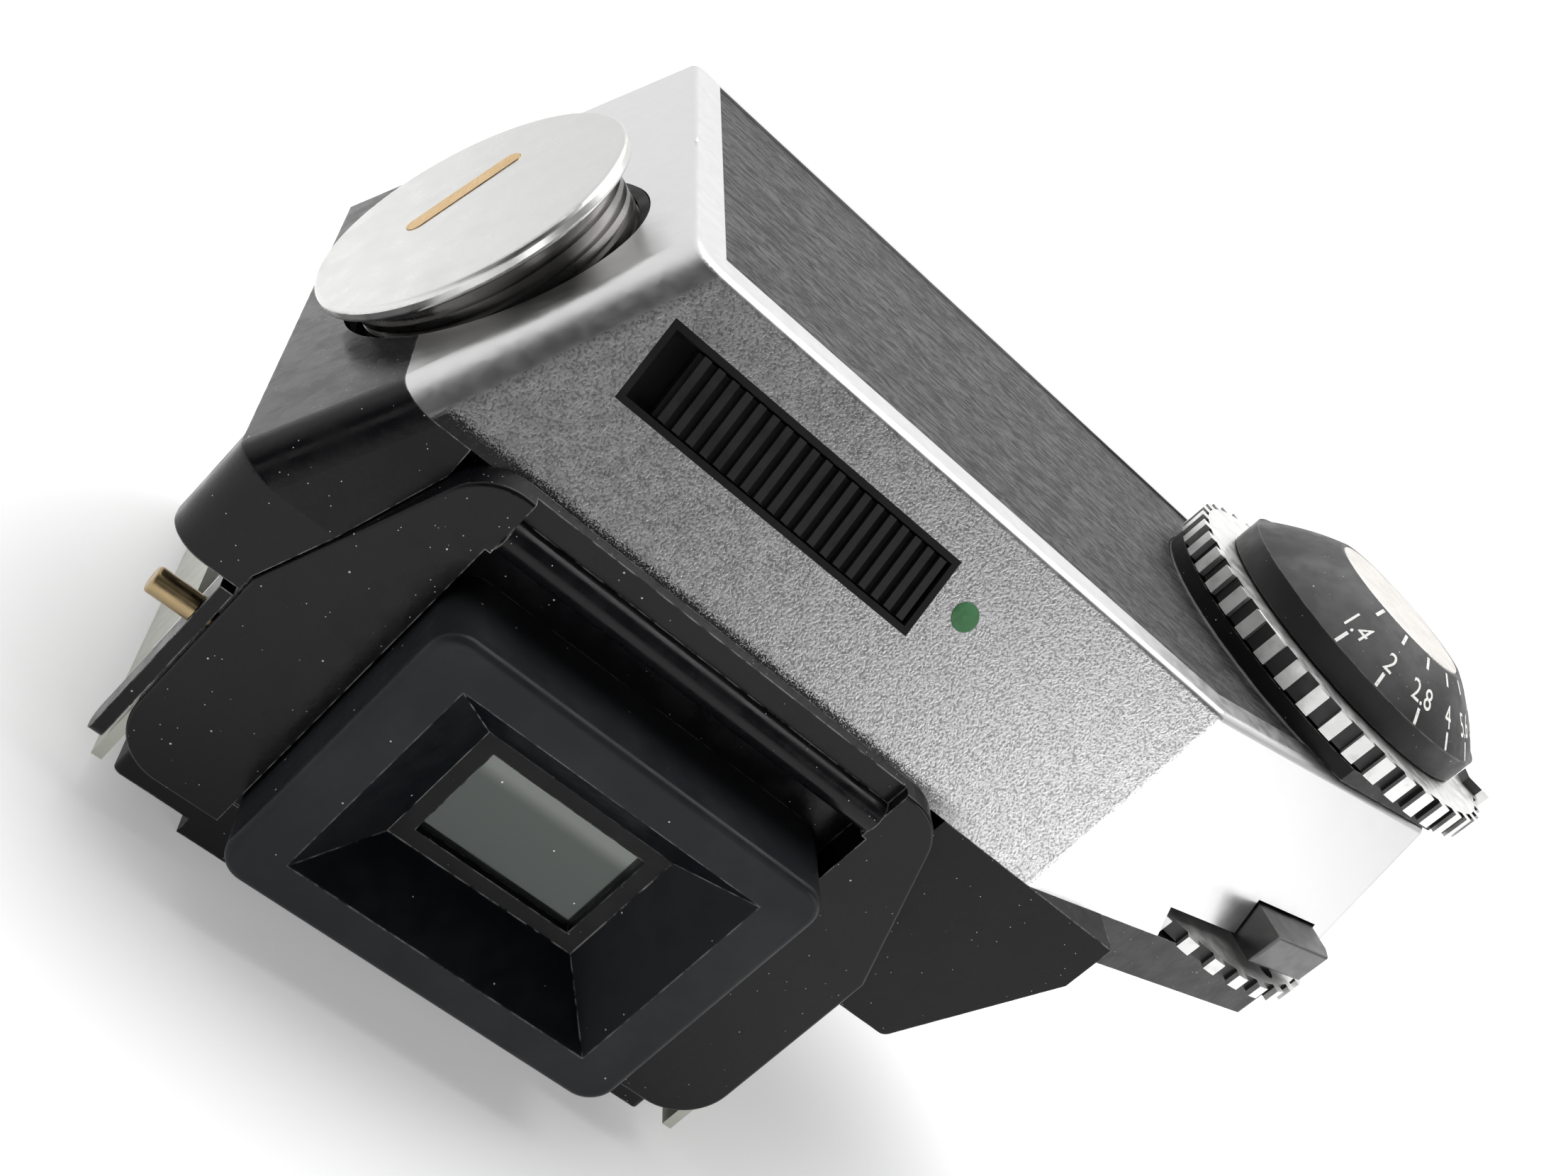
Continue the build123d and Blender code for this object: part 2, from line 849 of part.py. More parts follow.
with BuildPart() as switch_frame:
    extrude(box_face(switch_length, switch_height, rear_face), amount=-switch_depth)
    extrude(box_face(slot_length, slot_height, rear_face), amount=pocket_floor, mode=Mode.SUBTRACT)
finish(switch_frame, "switch_frame")

with BuildPart() as switch_slider:
    extrude(
        box_face(slider_length, slot_height - 0.3, rear_at(pocket_floor + 0.05), slider_x), amount=1.2
    )
    rib_pitch = slider_length / switch_ribs
    for rib in range(switch_ribs):
        rib_x = slider_x - slider_length / 2 + rib_pitch * (rib + 0.5)
        extrude(
            box_face(rib_pitch * 0.5, slot_height - 0.3, rear_at(pocket_floor + 1.25), rib_x), amount=0.55
        )
finish(switch_slider, "switch_slider")

with BuildPart() as switch_contact:
    extrude(box_face(12, 3, rear_at(-switch_depth - 0.05)), amount=-0.3)
    with BuildSketch(rear_at(-switch_depth - 0.35)):
        with Locations((-4, 0), (4, 0)):
            Circle(0.5)
    extrude(amount=-1.0)
finish(switch_contact, "switch_contact")

with BuildPart() as ready_dot:
    extrude(disc(dot_radius - 0.02, dot_face.offset(-1.1)), amount=1.15)
    fillet(ready_dot.edges().sort_by(lambda e: -e.center().Z)[0], radius=0.04)
finish(ready_dot, "ready_dot")

# ---------------------------------------------------------------- battery compartment
chamber_inner = chamber_radius - chamber_wall


def cap_at(depth):
    """The plane of the battery cap, moved out from the left face by depth."""
    return side_face.offset(depth)


with BuildPart() as battery_chamber:
    extrude(disc(chamber_radius, cap_at(-chamber_depth)), amount=chamber_depth - chamber_set)
    extrude(
        disc(chamber_inner, cap_at(-chamber_depth + chamber_wall)), amount=chamber_depth, mode=Mode.SUBTRACT
    )
finish(battery_chamber, "battery_chamber")

with BuildPart() as battery_contact:
    extrude(disc(5.0, cap_at(-chamber_depth + chamber_wall + 0.02)), amount=0.25)
    extrude(disc(2.0, cap_at(-chamber_depth + chamber_wall + 0.25)), amount=0.2)
finish(battery_contact, "battery_contact")

cell_low = -chamber_depth + chamber_wall + 0.5

with BuildPart() as battery_cell:
    extrude(disc(cell_radius, cap_at(cell_low)), amount=cell_height - 0.8)
    fillet(battery_cell.edges(), radius=0.4)
    extrude(disc(cell_radius - 1.6, cap_at(cell_low + cell_height - 0.8)), amount=0.8)
finish(battery_cell, "battery_cell")

disc_low = cap_face - cap_thickness
inlay_length = 9.5
inlay_width = 1.6
inlay_turn = 30.0
inlay_x = -3.0
inlay_y = -0.5

with BuildPart() as battery_cap:
    extrude(disc(cap_radius, cap_at(disc_low)), amount=cap_thickness)
    fillet(battery_cap.edges(), radius=0.35)
    neck_low = -chamber_depth + chamber_wall + 0.6
    extrude(disc(neck_radius, cap_at(neck_low)), amount=disc_low - neck_low)
    for thread in range(5):
        extrude(disc(neck_radius + 0.3, cap_at(disc_low - 0.9 - thread * 1.0)), amount=0.5)
    extrude(
        disc(cell_radius + 0.3, cap_at(-chamber_depth + chamber_wall)),
        amount=disc_low + chamber_depth - chamber_wall,
        mode=Mode.SUBTRACT,
    )
    with BuildSketch(cap_at(cap_face)):
        with Locations(Location((inlay_x, inlay_y), 90 + inlay_turn)):
            SlotOverall(inlay_length, inlay_width)
    extrude(amount=-0.3, mode=Mode.SUBTRACT)
finish(battery_cap, "battery_cap")

with BuildPart() as cap_inlay:
    with BuildSketch(cap_at(cap_face - 0.3)):
        with Locations(Location((inlay_x, inlay_y), 90 + inlay_turn)):
            SlotOverall(inlay_length - 0.04, inlay_width - 0.04)
    extrude(amount=0.35)
finish(cap_inlay, "cap_inlay")

cell_top = cell_low + cell_height

with BuildPart() as cap_spring:
    extrude(disc(3.0, cap_at(disc_low - 0.4)), amount=0.38)
    extrude(disc(1.5, cap_at(cell_top + 0.1)), amount=disc_low - 0.3 - cell_top)
finish(cap_spring, "cap_spring")

# ---------------------------------------------------------------- aperture and speed dials
with BuildPart() as dial_collar:
    with BuildSketch(level(top_z)):
        with Locations((dial_x, dial_y)):
            Circle(collar_radius)
        with BuildLine():
            Polyline(*outline(top_z), close=True)
        make_face(mode=Mode.INTERSECT)
    extrude(amount=collar_height)
    extrude(disc(hub_radius, level(top_z + collar_height), dial_x, dial_y), amount=ring_height + 0.3)
    extrude(
        disc(axle_radius + running_gap, level(top_z), dial_x, dial_y),
        amount=collar_height + ring_height + 1,
        mode=Mode.SUBTRACT,
    )
finish(dial_collar, "dial_collar")

tab_x = dial_x + (ring_radius - 0.6) * math.cos(math.radians(ring_tab_angle))
tab_y = dial_y + (ring_radius - 0.6) * math.sin(math.radians(ring_tab_angle))

with BuildPart() as speed_ring:
    rim = toothed(ring_radius, ring_teeth, ring_z, dial_x, dial_y, 0.52, ring_turn)
    extrude(rim, amount=ring_height)
    with BuildSketch(level(ring_z + 0.3)):
        with Locations(Location((tab_x, tab_y), ring_tab_angle)):
            Rectangle(2.6, 1.8)
    extrude(amount=ring_height + 0.5)
    extrude(
        disc(hub_radius + running_gap, level(ring_z), dial_x, dial_y), amount=ring_height, mode=Mode.SUBTRACT
    )
finish(speed_ring, "speed_ring")

with BuildPart() as aperture_dial:
    extrude(disc(dial_radius, level(dial_z), dial_x, dial_y), amount=dial_skirt_height)
    cone_foot = dial_radius - 0.25
    with BuildSketch(Plane((dial_x, dial_y, 0), x_dir=(1, 0, 0), z_dir=(0, -1, 0))):
        with BuildLine():
            ThreePointArc(
                (cone_foot, cone_z),
                ((cone_foot + crown_radius + cone_bulge) / 2, (cone_z + crown_z + cone_bulge) / 2),
                (crown_radius, crown_z),
            )
            Polyline((crown_radius, crown_z), (0, crown_z), (0, cone_z), (cone_foot, cone_z))
        make_face()
    revolve(axis=Axis((dial_x, dial_y, 0), (0, 0, 1)))
    extrude(
        disc(disc_radius + 0.02, level(crown_z), dial_x, dial_y), amount=-0.5, mode=Mode.SUBTRACT
    )
    extrude(
        disc(axle_radius, level(dial_z), dial_x, dial_y),
        amount=crown_z - dial_z - 1.5,
        mode=Mode.SUBTRACT,
    )
finish(aperture_dial, "aperture_dial")

with BuildPart() as dial_top_disc:
    extrude(disc(disc_radius, level(crown_z - 0.5), dial_x, dial_y), amount=0.55)
    fillet(dial_top_disc.edges().sort_by(Axis.Z)[-1], radius=0.15)
finish(dial_top_disc, "dial_top_disc")

with BuildPart() as dial_axle:
    extrude(disc(axle_radius, level(axle_bottom_z), dial_x, dial_y), amount=crown_z - 1.5 - axle_bottom_z)
finish(dial_axle, "dial_axle")

star_z = axle_bottom_z + 0.4
wiper_z = axle_bottom_z + 3.0
track_z = top_z - roof_wall - 2.0

with BuildPart() as click_wheel:
    with BuildSketch(level(star_z)):
        with Locations((dial_x, dial_y)):
            Circle(5.0)
            with PolarLocations(5.3, 18):
                Circle(0.6, mode=Mode.SUBTRACT)
            Circle(axle_radius, mode=Mode.SUBTRACT)
    extrude(amount=1.2)
finish(click_wheel, "click_wheel")

with BuildPart() as click_spring:
    extrude(box_face(0.5, 11, level(star_z), dial_x - 5.6, dial_y + 2), amount=1.2)
    extrude(box_face(3.0, 1.6, level(star_z), dial_x - 7.0, dial_y + 8.2), amount=1.2)
finish(click_spring, "click_spring")

with BuildPart() as wiper_arm:
    extrude(disc(3.4, level(wiper_z), dial_x, dial_y, bore=axle_radius), amount=1.0)
    extrude(box_face(6.0, 1.4, level(wiper_z), dial_x - 5.5, dial_y), amount=0.5)
    extrude(disc(0.6, level(wiper_z), dial_x - 7.6, dial_y), amount=track_z - wiper_z - 0.1)
finish(wiper_arm, "wiper_arm")

with BuildPart() as resistor_ring:
    extrude(disc(8.8, level(track_z), dial_x, dial_y, bore=axle_radius + 1.8), amount=1.6)
finish(resistor_ring, "resistor_ring")

# ---------------------------------------------------------------- film ring in its slot
with BuildPart() as ring_post:
    extrude(disc(5.0, level(floor_z), wheel_x, wheel_y), amount=wheel_z - running_gap - floor_z)
    post = disc(post_radius, level(floor_z), wheel_x, wheel_y)
    extrude(post, amount=wheel_z + wheel_height + 2 - floor_z)
finish(ring_post, "ring_post")

with BuildPart() as film_ring:
    extrude(toothed(wheel_radius, wheel_teeth, wheel_z, wheel_x, wheel_y, 0.6), amount=wheel_height)
    bore = disc(post_radius + running_gap, level(wheel_z), wheel_x, wheel_y)
    extrude(bore, amount=wheel_height, mode=Mode.SUBTRACT)
    with BuildSketch(level(wheel_z + wheel_height)):
        with Locations((wheel_x + dimple_x, wheel_y + dimple_y)):
            Circle(0.9)
    extrude(amount=-0.7, taper=35, mode=Mode.SUBTRACT)
finish(film_ring, "film_ring")

with BuildPart() as ring_retainer:
    extrude(disc(5.0, level(wheel_z + wheel_height + 0.1), wheel_x, wheel_y, bore=post_radius), amount=0.8)
finish(ring_retainer, "ring_retainer")

# ---------------------------------------------------------------- release bar
flange_top = -shell_wall - 0.15

with BuildPart() as lock_bar:
    body = box_face(lock_length, lock_height, bevel_face.offset(flange_top))
    extrude(body, amount=lock_reach - flange_top)
    outer = lock_bar.faces().sort_by(lambda f: f.center().Y)[0].edges()
    chamfer(outer.sort_by(Axis.X)[-1], length=1.2, length2=0.9)
    fillet(lock_bar.faces().sort_by(lambda f: f.center().Y)[0].edges(), radius=0.25)
    flange = box_face(lock_length + 1.8, lock_height - 0.8, bevel_face.offset(flange_top))
    extrude(flange, amount=-0.8)
finish(lock_bar, "lock_bar")

with BuildPart() as lock_spring:
    extrude(box_face(5.0, 1.6, bevel_face.offset(flange_top - 0.8)), amount=-0.3)
    extrude(box_face(1.2, 1.6, bevel_face.offset(flange_top - 1.1), -1.9), amount=-0.6)
    extrude(box_face(1.2, 1.6, bevel_face.offset(flange_top - 1.1), 1.9), amount=-0.6)
finish(lock_spring, "lock_spring")

# ---------------------------------------------------------------- meter movement and board
with BuildPart() as meter_movement:
    extrude(disc(meter_radius, level(meter_z), meter_x, meter_y), amount=meter_height - 0.6)
    extrude(disc(2.4, level(meter_z), meter_x, meter_y), amount=meter_height)
    extrude(box_face(4.0, 18.0, level(meter_z - 0.8), meter_x, meter_y, 1), amount=0.8)
finish(meter_movement, "meter_movement")

needle_z = meter_z + meter_height + 0.1

with BuildPart() as meter_needle:
    extrude(disc(1.2, level(needle_z), meter_x, meter_y), amount=0.4)
    extrude(box_face(13.0, 0.5, level(needle_z), meter_x - 6.5, meter_y), amount=0.3)
finish(meter_needle, "meter_needle")

board_y = front_y(40) - shell_wall - 2.6

with BuildPart() as circuit_board:
    extrude(box_face(28, 8, upright(board_y), 0, 44), amount=1.0)
    for part_x in (-9, -3, 4, 9):
        extrude(box_face(3.2, 2.0, upright(board_y - 1.0), part_x, 44 + part_x % 2), amount=1.2)
finish(circuit_board, "circuit_board")
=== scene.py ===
import json
import math

import bmesh
import bpy
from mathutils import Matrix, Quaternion, Vector


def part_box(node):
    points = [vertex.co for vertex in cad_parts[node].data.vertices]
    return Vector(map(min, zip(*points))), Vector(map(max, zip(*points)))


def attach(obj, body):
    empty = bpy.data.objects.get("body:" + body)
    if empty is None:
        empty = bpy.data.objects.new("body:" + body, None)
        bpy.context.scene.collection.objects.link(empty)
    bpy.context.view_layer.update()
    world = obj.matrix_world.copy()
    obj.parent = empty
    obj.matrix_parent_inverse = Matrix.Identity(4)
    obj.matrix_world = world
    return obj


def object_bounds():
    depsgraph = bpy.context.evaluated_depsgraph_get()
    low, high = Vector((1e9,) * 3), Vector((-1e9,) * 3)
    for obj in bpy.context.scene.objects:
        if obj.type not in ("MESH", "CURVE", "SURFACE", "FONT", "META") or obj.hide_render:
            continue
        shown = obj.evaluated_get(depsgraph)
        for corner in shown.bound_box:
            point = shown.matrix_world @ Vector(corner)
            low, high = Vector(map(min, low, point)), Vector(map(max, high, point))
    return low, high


# Looks of the clip-on metering prism finder. The frame brings every CAD node in metres, X to the
# photographer's right, Y towards the subject and Z up. This script gives the nodes their
# materials, adds the dial's marks, and sets the floor, the sky, the lamps and the camera.

MM = 0.001

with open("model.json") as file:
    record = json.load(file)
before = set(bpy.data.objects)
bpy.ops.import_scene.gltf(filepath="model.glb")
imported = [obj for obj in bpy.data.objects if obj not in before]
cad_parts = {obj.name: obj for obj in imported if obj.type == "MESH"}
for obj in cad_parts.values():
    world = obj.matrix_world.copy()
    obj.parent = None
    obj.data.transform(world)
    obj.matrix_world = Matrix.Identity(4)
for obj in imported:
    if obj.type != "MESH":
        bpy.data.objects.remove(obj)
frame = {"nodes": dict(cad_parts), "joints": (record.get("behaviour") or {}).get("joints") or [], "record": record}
nodes = frame["nodes"]
bounds_at_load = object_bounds()

# ---------------------------------------------------------------- camera, floor and sky
CAMERA_PLACE = Vector((-45.44, -125.26, 82.81)) * MM
CAMERA_AIM = Vector((0.3694, 0.8658, -0.3375))
CAMERA_ROLL = 47.2
LENS = 44.76
SENSOR = 36.0
NEAREST_SEEN = 0.005
FLOOR_HALF = 0.42
FLOOR_GLOW = 0.28
FLOOR_SQUARES = 8
SKY_DARK = 0.05

# ---------------------------------------------------------------- the eyepiece, the cap and the shell
# the eyepiece's mouth, whose funnel is painted nearly black as painted shade
MOUTH_HALF_WIDTH = 12.25 * MM
MOUTH_HALF_HEIGHT = 8.75 * MM
MOUTH_DEPTH_START = 0.04 * MM
# where the painted shade under the cap's disc starts and is full: below the middle of the cap's inlay, along the
# cap's axis
CAP_DISC_FLOOR = 1.15 * MM
CAP_NECK_TOP = 1.3 * MM
# painted reflection along the eyepiece glass's upper edge: where it is full and where it starts, below the glass's
# top edge
REFLECTION_FULL_TO = 2.2 * MM
REFLECTION_START_FROM = 3.6 * MM
REAR_FACE_NORMAL = (0.0, -1.0, 0.475)
# painted shade on the shell's lower edge: its height above the shell's lowest edge, and then its reach to the
# right of the eyepiece's middle
EDGE_SHADE_TOP = 2.6 * MM
EDGE_SHADE_FULL = 0.1 * MM
EDGE_SHADE_RIGHT_END = 24.0 * MM
EDGE_SHADE_FULL_LEFT_OF = 14.0 * MM

# ---------------------------------------------------------------- marks on the dial and the speed ring
SKIRT_HEIGHT = 2.3 * MM
CROWN_RIM = 0.4 * MM
STOPS = ["1.4", "2", "2.8", "4", "5.6", "8", "11", "16", "22"]
FIRST_STOP = -131.0
STOP_STEP = 20.5
DIGIT_HEIGHT = 2.0 * MM
DIGIT_NARROW = 0.72
DIGIT_GAP = 0.35 * MM
MARK_WIDTH = 0.3 * MM
MARK_MARGIN = 0.25 * MM
UPPER_MARK = 1.2 * MM
LOWER_MARK = 1.5 * MM
MARK_LIFT = 0.03 * MM
MARK_THICKNESS = 0.05 * MM
PROBE_HEIGHT = 3.0 * MM
WELD_DISTANCE = 0.002 * MM
INDEX_ANGLE = -144.0
INDEX_WIDTH = 0.35 * MM
INDEX_LENGTH = 3.0 * MM
INDEX_INSET = 0.35 * MM
INDEX_BELOW_DIAL = 0.17 * MM

# ---------------------------------------------------------------- colours and wear shared by materials
WHITE = (1.0, 1.0, 1.0, 1.0)
TARNISH = (0.30, 0.30, 0.28)
RUBBED_GREY = (0.42, 0.42, 0.39)
DUST_GREY = (0.55, 0.55, 0.52)
BLACK = (0.005, 0.005, 0.006)
RUBBED_RADIUS = 0.16 * MM
# cosine between a surface and its rounded copy, where the wear starts and where it is full
EDGE_START = 0.985
EDGE_FULL = 0.86


# ---------------------------------------------------------------- helpers
def put(name, data):
    """A new object that holds data, linked to the scene."""
    item = bpy.data.objects.new(name, data)
    bpy.context.scene.collection.objects.link(item)
    return item


SOCKET_NAMES = {"color": "Base Color", "rough": "Roughness", "normal": "Normal", "metal": "Metallic"}


class Surface:
    """A Principled material with short calls for the nodes that shape it."""

    def __init__(self, name):
        self.material = bpy.data.materials.new(name)
        self.material.use_nodes = True
        self.tree = self.material.node_tree
        self.shader = self.tree.nodes["Principled BSDF"]
        self.place = self.add("ShaderNodeTexCoord").outputs["Object"]

    def add(self, kind, inputs=None, **settings):
        node = self.tree.nodes.new(kind)
        for key, value in settings.items():
            setattr(node, key, value)
        for key, value in (inputs or {}).items():
            if isinstance(value, bpy.types.NodeSocket):
                self.tree.links.new(value, node.inputs[key])
            else:
                node.inputs[key].default_value = value
        return node

    def maths(self, operation, first, second=0.0):
        return self.add("ShaderNodeMath", {0: first, 1: second}, operation=operation).outputs[0]

    def vectors(self, operation, first, second=(0.0, 0.0, 0.0)):
        return self.add("ShaderNodeVectorMath", {0: first, 1: second}, operation=operation)

    def span(self, value, low, high, out_low=0.0, out_high=1.0):
        """value mapped smoothly from low..high to out_low..out_high, and held at the ends."""
        inputs = {
            "Value": value,
            "From Min": low,
            "From Max": high,
            "To Min": out_low,
            "To Max": out_high,
        }
        return self.add("ShaderNodeMapRange", inputs, interpolation_type="SMOOTHSTEP").outputs[0]

    def stretch(self, scale, turn):
        inputs = {"Vector": self.place, "Scale": scale, "Rotation": turn}
        return self.add("ShaderNodeMapping", inputs).outputs[0]

    def noise(self, scale, detail=3.0, rough=0.55, distortion=0.0, place=None):
        inputs = {
            "Vector": place or self.place,
            "Scale": scale,
            "Detail": detail,
            "Roughness": rough,
            "Distortion": distortion,
        }
        return self.add("ShaderNodeTexNoise", inputs).outputs[0]

    def specks(self, scale, size, share):
        """A mask of sparse round specks of that size; share is the part of the cells that hold one."""
        cells = self.add("ShaderNodeTexVoronoi", {"Vector": self.place, "Scale": scale})
        dot = self.span(cells.outputs["Distance"], size, size * 0.6)
        chosen = self.maths("GREATER_THAN", self.axis(cells.outputs["Color"], 0), 1 - share)
        return self.maths("MULTIPLY", dot, chosen)

    def axis(self, vector, number):
        return self.add("ShaderNodeSeparateXYZ", {0: vector}).outputs[number]

    def blend(self, share, first, second):
        mix = self.add("ShaderNodeMix", data_type="RGBA")
        for socket, value in ((mix.inputs[0], share), (mix.inputs[6], first), (mix.inputs[7], second)):
            if isinstance(value, bpy.types.NodeSocket):
                self.tree.links.new(value, socket)
            elif socket is mix.inputs[0]:
                socket.default_value = value
            else:
                socket.default_value = (*value, 1.0)
        return mix.outputs[2]

    def facing(self, direction, low, high):
        """1 where the surface faces direction, fading to 0 as the cosine falls from high to low."""
        normal = self.add("ShaderNodeNewGeometry").outputs["True Normal"]
        toward = Vector(direction).normalized()
        cosine = self.vectors("DOT_PRODUCT", normal, toward).outputs["Value"]
        return self.span(cosine, low, high)

    def edges(self, radius):
        """1 along sharp edges, and 0 further from them than the radius."""
        normal = self.add("ShaderNodeNewGeometry").outputs["Normal"]
        rounded = self.add("ShaderNodeBevel", {"Radius": radius}, samples=4).outputs[0]
        cosine = self.vectors("DOT_PRODUCT", normal, rounded).outputs["Value"]
        return self.span(cosine, EDGE_START, EDGE_FULL)

    def rubbed(self, worn):
        """A patchy mask of the edges that are rubbed bare, up to worn."""
        patches = self.span(self.noise(900.0, 5.0), 0.38, 0.62)
        bare = self.maths("MULTIPLY", self.edges(RUBBED_RADIUS), patches)
        return self.maths("MULTIPLY", bare, worn)

    def from_axis(self, centre):
        """Distance from a vertical axis through centre."""
        offset = self.vectors("SUBTRACT", self.place, centre).outputs[0]
        flat = self.vectors("MULTIPLY", offset, (1.0, 1.0, 0.0)).outputs[0]
        return self.vectors("LENGTH", flat).outputs["Value"]

    def bump(self, height, depth, strength=1.0, normal=None):
        inputs = {"Height": height, "Distance": depth, "Strength": strength}
        if normal:
            inputs["Normal"] = normal
        return self.add("ShaderNodeBump", inputs).outputs[0]

    def wire(self, **sockets):
        """Set or link the sockets that SOCKET_NAMES gives a short name."""
        for key, value in sockets.items():
            socket = self.shader.inputs[SOCKET_NAMES[key]]
            if isinstance(value, bpy.types.NodeSocket):
                self.tree.links.new(value, socket)
            elif key == "color":
                socket.default_value = (*value, 1.0)
            else:
                socket.default_value = value

    def specular(self, level):
        self.shader.inputs["Specular IOR Level"].default_value = level


# ---------------------------------------------------------------- materials
def satin_metal(name, color, rough, grain=3000.0, depth=0.004 * MM, tarnish=TARNISH):
    """Machined or plated metal with a fine grain and faint cloudy tarnish."""
    s = Surface(name)
    cloud = s.span(s.noise(420.0, 5.0), 0.5, 0.75, 0.0, 0.22)
    s.wire(
        color=s.blend(cloud, color, tarnish),
        rough=s.span(s.noise(700.0), 0.3, 0.7, rough - 0.06, rough + 0.08),
        normal=s.bump(s.noise(grain), depth),
        metal=1.0,
    )
    return s.material


def black_paint(name, color, rough, gloss, dust, worn=0.5, grain=2200.0, depth=0.01 * MM):
    """Black lacquer over brass or alloy: orange peel, dust specks and edges rubbed to grey."""
    s = Surface(name)
    fine = s.maths("MAXIMUM", s.specks(1500.0, 0.13, dust), s.specks(4200.0, 0.2, dust * 0.8))
    haze = s.span(s.noise(120.0, 4.0), 0.45, 0.7, 0.0, 0.5)
    lifted = tuple(v * 1.6 + 0.001 for v in color)
    base = s.blend(haze, color, lifted)
    base = s.blend(s.rubbed(worn), base, RUBBED_GREY)
    base = s.blend(fine, base, DUST_GREY)
    spread = s.span(s.noise(500.0), 0.3, 0.7, rough - 0.05, rough + 0.1)
    s.wire(
        color=base,
        rough=s.maths("MAXIMUM", spread, s.maths("MULTIPLY", fine, 0.7)),
        normal=s.bump(s.noise(grain, 4.0), depth),
    )
    s.specular(gloss)
    return s.material


def eyepiece_black():
    """Dark grey satin frame around a funnel painted nearly black as painted shade in the recess, with a bluish
    tint as a painted sheen.
    """
    s = Surface("eyepiece_satin")
    low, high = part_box("eyepiece_frame")
    rise = s.maths("SUBTRACT", s.axis(s.place, 2), (low.z + high.z) / 2)
    wide = s.maths("LESS_THAN", s.maths("ABSOLUTE", s.axis(s.place, 0)), MOUTH_HALF_WIDTH)
    tall = s.maths("LESS_THAN", s.maths("ABSOLUTE", rise), MOUTH_HALF_HEIGHT)
    deep = s.maths("GREATER_THAN", s.axis(s.place, 1), low.y + MOUTH_DEPTH_START)
    funnel = s.maths("MULTIPLY", s.maths("MULTIPLY", wide, tall), deep)
    specks = s.specks(1500.0, 0.13, 0.03)
    base = s.blend(s.span(s.noise(150.0, 4.0), 0.4, 0.7), (0.014, 0.015, 0.017), (0.021, 0.022, 0.024))
    # painted shade and sheen: the funnel inside the mouth is painted nearly black and tinted blue
    base = s.blend(funnel, base, (0.0015, 0.0025, 0.004))
    base = s.blend(s.rubbed(0.8), base, (0.40, 0.40, 0.38))
    s.wire(
        color=s.blend(specks, base, (0.5, 0.5, 0.48)),
        rough=s.span(s.noise(500.0), 0.3, 0.7, 0.28, 0.42),
        normal=s.bump(s.noise(2400.0, 4.0), 0.01 * MM),
    )
    s.specular(0.14)
    return s.material


def plastic(name, color, rough, grain=2500.0, depth=0.01 * MM, gloss=0.4):
    """Moulded or painted surface with a faint darker cloud and a fine grain."""
    s = Surface(name)
    cloud = s.span(s.noise(250.0, 4.0), 0.35, 0.7)
    s.wire(
        color=s.blend(cloud, color, tuple(v * 0.6 for v in color)),
        rough=s.span(s.noise(600.0), 0.3, 0.7, rough - 0.08, rough + 0.1),
        normal=s.bump(s.noise(grain), depth),
    )
    s.specular(gloss)
    return s.material


def shell_silver():
    """Satin chrome. The sloped rear face is sand-blasted, and its lower edge, where it meets the black casting, is
    painted black in speckles as painted shade.
    """
    s = Surface("shell_silver")
    low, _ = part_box("upper_shell")
    sanded = s.facing(REAR_FACE_NORMAL, 0.97, 0.995)
    grain = s.noise(5200.0, 2.0, 0.6)
    pits = s.span(grain, 0.34, 0.56)
    deep = s.maths("MULTIPLY", sanded, s.maths("SUBTRACT", 1.0, pits))
    base = s.blend(sanded, (0.66, 0.66, 0.66), (0.62, 0.62, 0.62))
    base = s.blend(deep, base, (0.32, 0.32, 0.32))
    # painted shade: black speckles, less metallic, painted along the rear face's lower edge where it meets the
    # black casting
    edge_shade_ramp = s.span(s.axis(s.place, 2), low.z + EDGE_SHADE_TOP, low.z + EDGE_SHADE_FULL)
    edge_shade_speckle = s.maths("GREATER_THAN", s.maths("MULTIPLY", edge_shade_ramp, 0.72), s.noise(9500.0, 2.0, 0.7))
    side = s.span(s.axis(s.place, 0), EDGE_SHADE_RIGHT_END, EDGE_SHADE_FULL_LEFT_OF)
    edge_shade_speckle = s.maths("MULTIPLY", s.maths("MULTIPLY", edge_shade_speckle, sanded), side)
    base = s.blend(edge_shade_speckle, base, (0.015, 0.015, 0.015))
    smear = s.span(s.noise(140.0, 5.0), 0.55, 0.8, 0.0, 0.12)
    base = s.blend(smear, base, (0.52, 0.52, 0.51))
    fine = s.noise(2600.0, 3.0)
    rough = s.span(s.noise(900.0), 0.3, 0.7, 0.28, 0.34)
    rough = s.maths("ADD", rough, s.maths("MULTIPLY", sanded, 0.04))
    height = s.maths("MULTIPLY", grain, sanded)
    s.wire(
        color=base,
        rough=rough,
        normal=s.bump(height, 0.03 * MM, 0.8, s.bump(fine, 0.004 * MM, 0.6)),
        metal=s.maths("SUBTRACT", 1.0, s.maths("MULTIPLY", edge_shade_speckle, 0.9)),
    )
    return s.material


def leather():
    """Charcoal leatherette: short wavy ridges along X, their crests painted lighter as painted highlight and the
    hollows between painted dark as painted shade.
    """
    s = Surface("leatherette_grain")
    ridges = s.noise(1.0, 3.0, 0.6, 1.1, s.stretch((520.0, 1500.0, 1100.0), (0.0, 0.0, 0.16)))
    pebbles = s.noise(3600.0, 3.0)
    height = s.maths("ADD", s.maths("MULTIPLY", ridges, 0.8), s.maths("MULTIPLY", pebbles, 0.2))
    crest = s.span(height, 0.40, 0.60)
    # painted light and shade: crests lighter, hollows between the ridges near black
    base = s.blend(crest, (0.006, 0.006, 0.007), (0.045, 0.045, 0.044))
    worn = s.span(s.noise(90.0, 4.0), 0.5, 0.75, 0.0, 0.4)
    base = s.blend(s.maths("MULTIPLY", worn, crest), base, (0.10, 0.10, 0.095))
    s.wire(
        color=base,
        rough=s.span(height, 0.35, 0.65, 0.66, 0.45),
        normal=s.bump(height, 0.4 * MM, 1.0),
    )
    s.specular(0.35)
    return s.material


